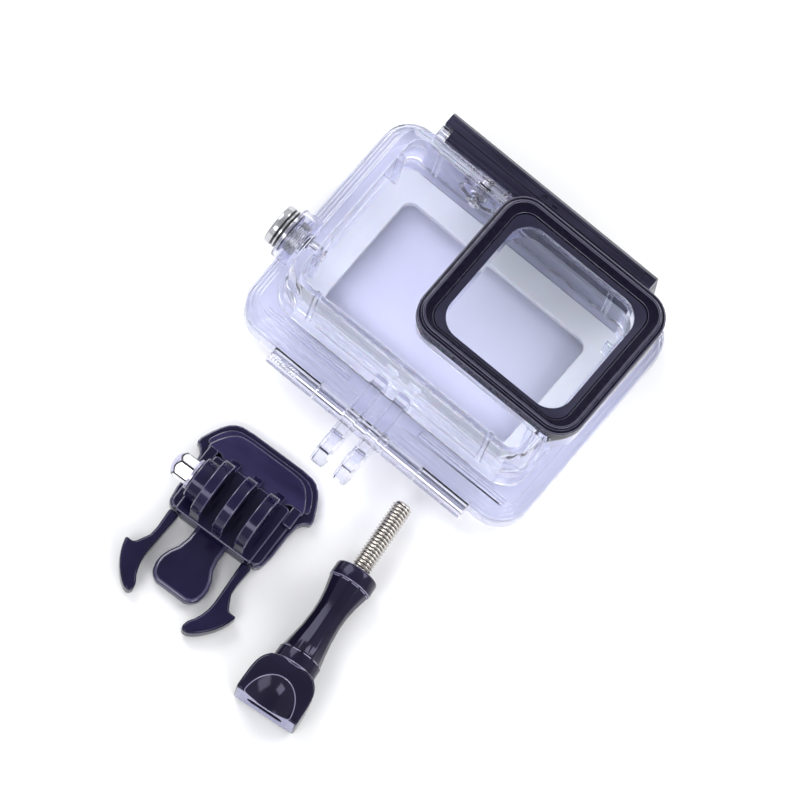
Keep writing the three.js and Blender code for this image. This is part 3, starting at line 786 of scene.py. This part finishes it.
def acorn_nut():
    """Six flats cut into a turned dome on a round collar, with a blind bore at the back; painted shade
    outlines the flats in dark and colours the dome and collar lavender-grey.
    """
    pivot = Matrix.Translation((0, FIN_Y * MM, PIVOT_Z * MM))
    place = BUCKLE_PLACE @ pivot @ Matrix.Rotation(math.pi / 2, 4, "Z")
    bm = bmesh.new()
    rings = [ring_y(radius, height, 72) for radius, height in NUT_COLLAR]
    rows = 42
    for row in range(rows + 1):
        height = NUT_FOOT + (NUT_TIP - NUT_FOOT) * row / rows
        dome = nut_dome(height)
        rings.append(ring_y(1, height, 72, lambda angle, dome=dome: min(dome, nut_flat(angle))))
    skin(bm, rings)
    nut = from_bmesh("acorn_nut", bm, "nut_steel", place)
    bore = bmesh.new()
    skin(bore, [ring_y(2.2, h, 32) for h in (10.0, 15.2)])
    combine(nut, from_bmesh("bore", bore, "nut_steel", place), "DIFFERENCE")

    def under_dome(point):
        """Depth of the flat under the dome at a point."""
        return nut_dome(point.y) - nut_flat(math.atan2(point.z, point.x))

    def on_rim(point):
        return point.y < NUT_FOOT or under_dome(point) <= -NUT_LINE

    def on_outline(point):
        at_corner = off_flat(math.atan2(point.z, point.x)) > NUT_CORNER - 1
        depth = under_dome(point)
        return point.y > NUT_FOOT and (abs(depth) < NUT_LINE or (at_corner and depth > 0))
    # Painted shade on the collar and on the dome round the flats.
    darken(nut, "nut_rim_painted_shade", place, on_rim)
    # Painted shade: dark outlines round the flats.
    darken(nut, "metal_painted_shade", place, on_outline)
    smooth_by_angle(nut, 22)
    attach(nut, "acorn_nut")


def button_cap(node, radius, start, end):
    """A turned cap with a rolled rim and two grooves round its skirt; its rounded edges are painted dark as
    shade.
    """
    place, _, _ = button_frame(node)
    rise = start - 0.3
    r = radius
    profile = [(1.2, rise + 0.9), (1.2, rise), (r - 0.15, rise), (r, rise + 0.15)]
    depth = end - start
    for share in (0.32, 0.55):
        at = rise + depth * share
        profile += [(r, at - 0.2), (r - 0.3, at - 0.1), (r - 0.3, at + 0.1), (r, at + 0.2)]
    top = rise + depth
    profile += [(r, top - 0.45), (r - 0.12, top - 0.15), (r - 0.4, top), (r - 0.75, top - 0.03),
                (r - 0.95, top - 0.35), (r - 1.3, top - 0.42), (0.6, top - 0.36)]
    bm = bmesh.new()
    skin(bm, [ring_y(radius_at, height, 72) for radius_at, height in profile])
    cap = from_bmesh(f"{node}_cap", bm, "button_metal", place)
    round_edges(cap, 0.18 * MM, 2, 30, "metal_painted_shade")
    smooth_by_angle(cap, 35)
    attach(cap, f"{node}_cap")


bezel()
inner_ring()
front_shell()
back_door()
latch_lever()
buckle_base()
buckle_arms()
acorn_nut()
button_cap("side_button", 5.25, 3.7, 8.1)
button_cap("shutter_button", 4.1, 2.6, 4.1)
pin("hinge_pin", 1.0, -28.0, 30.7, HINGE, (-28.2, -20.0))
pin("latch_pin", 0.9, -29.8, 31.8, LATCH_PIN, (-25.5, -8.0))
spring("side_button")
spring("shutter_button")
thread_rod()
knob()
for part_name, part_width in ROUNDED.items():
    attach(rounded_copy(part_name, part_width * MM), part_name)

for part_name, part_object in NODES.items():
    part_object.data.materials.clear()
    part_object.data.materials.append(MATERIALS[SLOT_OF[part_name]])


# ---------- stage ----------
def floor():
    bpy.ops.mesh.primitive_plane_add(size=6, location=(0, 0, -0.0002))
    plane = bpy.context.object
    plane.name = "floor"
    shader = Shader("floor", grey(0.88), 0.55).vary_roughness(20, 0.5, 0.6)
    plane.data.materials.append(shader.material)


def area_light(name, place, size, power):
    """A softbox that faces the middle of the set."""
    data = bpy.data.lights.new(name, "AREA")
    data.shape = "RECTANGLE"
    data.size, data.size_y = size
    data.energy = power
    light = bpy.data.objects.new(name, data)
    bpy.context.scene.collection.objects.link(light)
    light.location = place
    light.rotation_euler = (Vector((0, -0.02, 0)) - Vector(place)).to_track_quat("-Z", "Y").to_euler()


def lights():
    """A pale room, a little darker overhead and at the horizon, with large softboxes round the object."""
    world = bpy.data.worlds.new("studio")
    bpy.context.scene.world = world
    world.use_nodes = True
    tree = world.node_tree
    coords = tree.nodes.new("ShaderNodeTexCoord")
    split = tree.nodes.new("ShaderNodeSeparateXYZ")
    ramp = tree.nodes.new("ShaderNodeValToRGB")
    elements = ramp.color_ramp.elements
    for _ in range(2):
        elements.new(0.5)
    horizon, sky, overhead = (0.7, 0.7, 0.78), (0.97, 0.98, 1.0), (0.6, 0.6, 0.65)
    stops = [(0.0, horizon), (0.3, sky), (0.75, sky), (0.97, overhead)]
    for element, (position, color) in zip(elements, stops):
        element.position = position
        element.color = (*color, 1)
    tree.links.new(coords.outputs["Generated"], split.inputs["Vector"])
    tree.links.new(split.outputs["Z"], ramp.inputs["Fac"])
    tree.links.new(ramp.outputs["Color"], tree.nodes["Background"].inputs["Color"])
    tree.nodes["Background"].inputs["Strength"].default_value = 0.85
    area_light("key", (-0.8, 0.35, 0.75), (0.6, 0.8), 7)
    area_light("back", (0.45, 0.9, 0.7), (0.8, 0.4), 6)
    area_light("fill", (0.9, -0.5, 0.6), (0.6, 0.6), 4.5)
    area_light("front", (-0.15, -0.95, 0.95), (0.5, 0.4), 4)


def camera():
    """Long lens, nearly overhead, leaning to the hinge side and turned so that the case lies diagonally."""
    lean_y, lean_x, roll = (math.radians(a) for a in (15.48, 5.48, 40.78))
    distance, view_width = 1.962, 0.189573  # m
    target = Vector((0.00166, -0.02173, 0))
    aim = Matrix.Rotation(lean_x, 3, "Y") @ Matrix.Rotation(lean_y, 3, "X") @ Matrix.Rotation(roll, 3, "Z")
    data = bpy.data.cameras.new("camera")
    data.sensor_width = 36
    data.lens = data.sensor_width * distance / view_width
    data.clip_start = 0.1
    data.clip_end = 20
    obj = bpy.data.objects.new("camera", data)
    bpy.context.scene.collection.objects.link(obj)
    obj.matrix_world = Matrix.Translation(target + aim @ Vector((0, 0, distance))) @ aim.to_4x4()
    bpy.context.scene.camera = obj


floor()
lights()
camera()
view = bpy.context.scene.view_settings
view.view_transform = "Standard"
bpy.context.scene.cycles.transparent_max_bounces = 24
bpy.context.scene.cycles.max_bounces = 24
bpy.context.scene.cycles.transmission_bounces = 20
